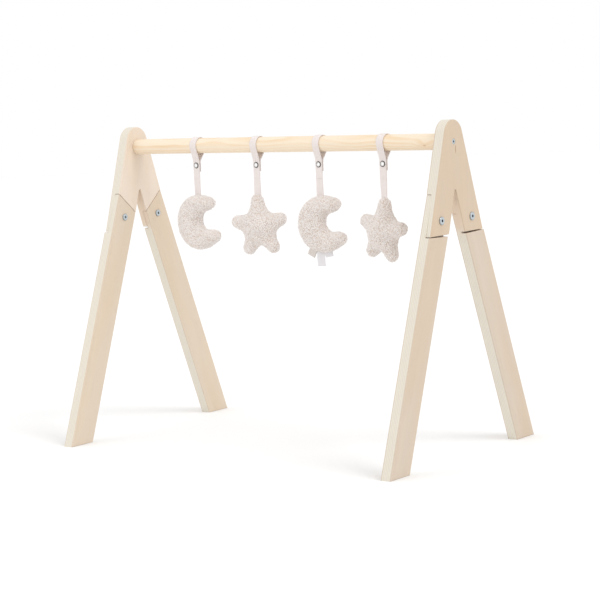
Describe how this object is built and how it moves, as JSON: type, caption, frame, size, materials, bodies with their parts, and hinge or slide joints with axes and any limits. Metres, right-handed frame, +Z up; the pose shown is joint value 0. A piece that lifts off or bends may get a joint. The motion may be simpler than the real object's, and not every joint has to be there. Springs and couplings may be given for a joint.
{
  "type": "activity play gym",
  "caption": "Free-standing baby play gym: A-shaped plywood end frames, a round wooden crossbar and plush moons and stars hung on press-stud tapes.",
  "frame": {"origin": "on the floor, midway between the end frames and between the front and back feet", "axes": "+X along the crossbar, +Y from the front feet to the back feet, +Z up"},
  "size_m": [0.6596, 0.4, 0.513],
  "materials": {
    "birch_plywood": "clear matt lacquer",
    "pine": "clear matt lacquer",
    "zinc_steel": "bright zinc",
    "snap_metal": "polished nickel",
    "cotton_tape": "woven twill",
    "plush_pile": "curly pile",
    "fibre_fill": "loose fibre",
    "tab_fabric": "plain weave",
    "label_fabric": "satin ribbon"
  },
  "bodies": {
    "frame": {"right_head": "birch_plywood", "left_head": "birch_plywood", "right_front_leg": "birch_plywood", "right_back_leg": "birch_plywood", "left_front_leg": "birch_plywood", "left_back_leg": "birch_plywood", "crossbar": "pine", "leg_bolts": "zinc_steel", "leg_sleeve_nuts": "zinc_steel", "bar_screws": "zinc_steel", "bar_inserts": "zinc_steel"},
    "moon_a_loop": {"moon_a_strap_loop": "cotton_tape", "moon_a_snap_cap": "snap_metal", "moon_a_snap_socket": "snap_metal"},
    "moon_a_tail": {"moon_a_strap_tail": "cotton_tape", "moon_a_snap_stud": "snap_metal", "moon_a_snap_back": "snap_metal"},
    "moon_a_hanger": {"moon_a_hanging_strap": "cotton_tape"},
    "moon_a_toy": {"moon_a_cover": "plush_pile", "moon_a_stuffing": "fibre_fill"},
    "star_a_loop": {"star_a_strap_loop": "cotton_tape", "star_a_snap_cap": "snap_metal", "star_a_snap_socket": "snap_metal"},
    "star_a_tail": {"star_a_strap_tail": "cotton_tape", "star_a_snap_stud": "snap_metal", "star_a_snap_back": "snap_metal"},
    "star_a_hanger": {"star_a_hanging_strap": "cotton_tape"},
    "star_a_toy": {"star_a_cover": "plush_pile", "star_a_stuffing": "fibre_fill"},
    "moon_b_loop": {"moon_b_strap_loop": "cotton_tape", "moon_b_snap_cap": "snap_metal", "moon_b_snap_socket": "snap_metal"},
    "moon_b_tail": {"moon_b_strap_tail": "cotton_tape", "moon_b_snap_stud": "snap_metal", "moon_b_snap_back": "snap_metal"},
    "moon_b_hanger": {"moon_b_hanging_strap": "cotton_tape"},
    "moon_b_toy": {"moon_b_cover": "plush_pile", "moon_b_stuffing": "fibre_fill", "moon_b_fabric_tab": "tab_fabric", "moon_b_care_label": "label_fabric", "moon_b_side_label": "label_fabric"},
    "star_b_loop": {"star_b_strap_loop": "cotton_tape", "star_b_snap_cap": "snap_metal", "star_b_snap_socket": "snap_metal"},
    "star_b_tail": {"star_b_strap_tail": "cotton_tape", "star_b_snap_stud": "snap_metal", "star_b_snap_back": "snap_metal"},
    "star_b_hanger": {"star_b_hanging_strap": "cotton_tape"},
    "star_b_toy": {"star_b_cover": "plush_pile", "star_b_stuffing": "fibre_fill"}
  },
  "joints": [
    {"name": "moon_a_slide", "type": "slide", "parent": "frame", "child": "moon_a_loop", "axis": [1, 0, 0], "range_m": [-0.08, 0.03]},
    {"name": "moon_a_snap_opening", "type": "hinge", "parent": "moon_a_loop", "child": "moon_a_tail", "pos_m": [-0.176, 0.01095, 0.47081], "axis": [1, 0, 0], "range_deg": [0, 95]},
    {"name": "moon_a_swing", "type": "hinge", "parent": "moon_a_loop", "child": "moon_a_hanger", "pos_m": [-0.176, -0.006, 0.43693], "axis": [1, 0, 0], "range_deg": [-50, 50]},
    {"name": "moon_a_twist", "type": "hinge", "parent": "moon_a_hanger", "child": "moon_a_toy", "pos_m": [-0.176, -0.006, 0.39893], "axis": [0, 0, 1], "range_deg": [-80, 80]},
    {"name": "star_a_slide", "type": "slide", "parent": "frame", "child": "star_a_loop", "axis": [1, 0, 0], "range_m": [-0.03, 0.022]},
    {"name": "star_a_snap_opening", "type": "hinge", "parent": "star_a_loop", "child": "star_a_tail", "pos_m": [-0.049, 0.01095, 0.47081], "axis": [1, 0, 0], "range_deg": [0, 95]},
    {"name": "star_a_swing", "type": "hinge", "parent": "star_a_loop", "child": "star_a_hanger", "pos_m": [-0.049, -0.006, 0.43693], "axis": [1, 0, 0], "range_deg": [-50, 50]},
    {"name": "star_a_twist", "type": "hinge", "parent": "star_a_hanger", "child": "star_a_toy", "pos_m": [-0.049, -0.006, 0.40033], "axis": [0, 0, 1], "range_deg": [-80, 80]},
    {"name": "moon_b_slide", "type": "slide", "parent": "frame", "child": "moon_b_loop", "axis": [1, 0, 0], "range_m": [-0.022, 0.015]},
    {"name": "moon_b_snap_opening", "type": "hinge", "parent": "moon_b_loop", "child": "moon_b_tail", "pos_m": [0.077, 0.01095, 0.47081], "axis": [1, 0, 0], "range_deg": [0, 95]},
    {"name": "moon_b_swing", "type": "hinge", "parent": "moon_b_loop", "child": "moon_b_hanger", "pos_m": [0.077, -0.006, 0.43693], "axis": [1, 0, 0], "range_deg": [-50, 50]},
    {"name": "moon_b_twist", "type": "hinge", "parent": "moon_b_hanger", "child": "moon_b_toy", "pos_m": [0.077, -0.006, 0.39843], "axis": [0, 0, 1], "range_deg": [-80, 80]},
    {"name": "star_b_slide", "type": "slide", "parent": "frame", "child": "star_b_loop", "axis": [1, 0, 0], "range_m": [-0.015, 0.053]},
    {"name": "star_b_snap_opening", "type": "hinge", "parent": "star_b_loop", "child": "star_b_tail", "pos_m": [0.2005, 0.01095, 0.47081], "axis": [1, 0, 0], "range_deg": [0, 95]},
    {"name": "star_b_swing", "type": "hinge", "parent": "star_b_loop", "child": "star_b_hanger", "pos_m": [0.2005, -0.006, 0.43693], "axis": [1, 0, 0], "range_deg": [-50, 50]},
    {"name": "star_b_twist", "type": "hinge", "parent": "star_b_hanger", "child": "star_b_toy", "pos_m": [0.2005, -0.006, 0.39533], "axis": [0, 0, 1], "range_deg": [-80, 80]}
  ]
}
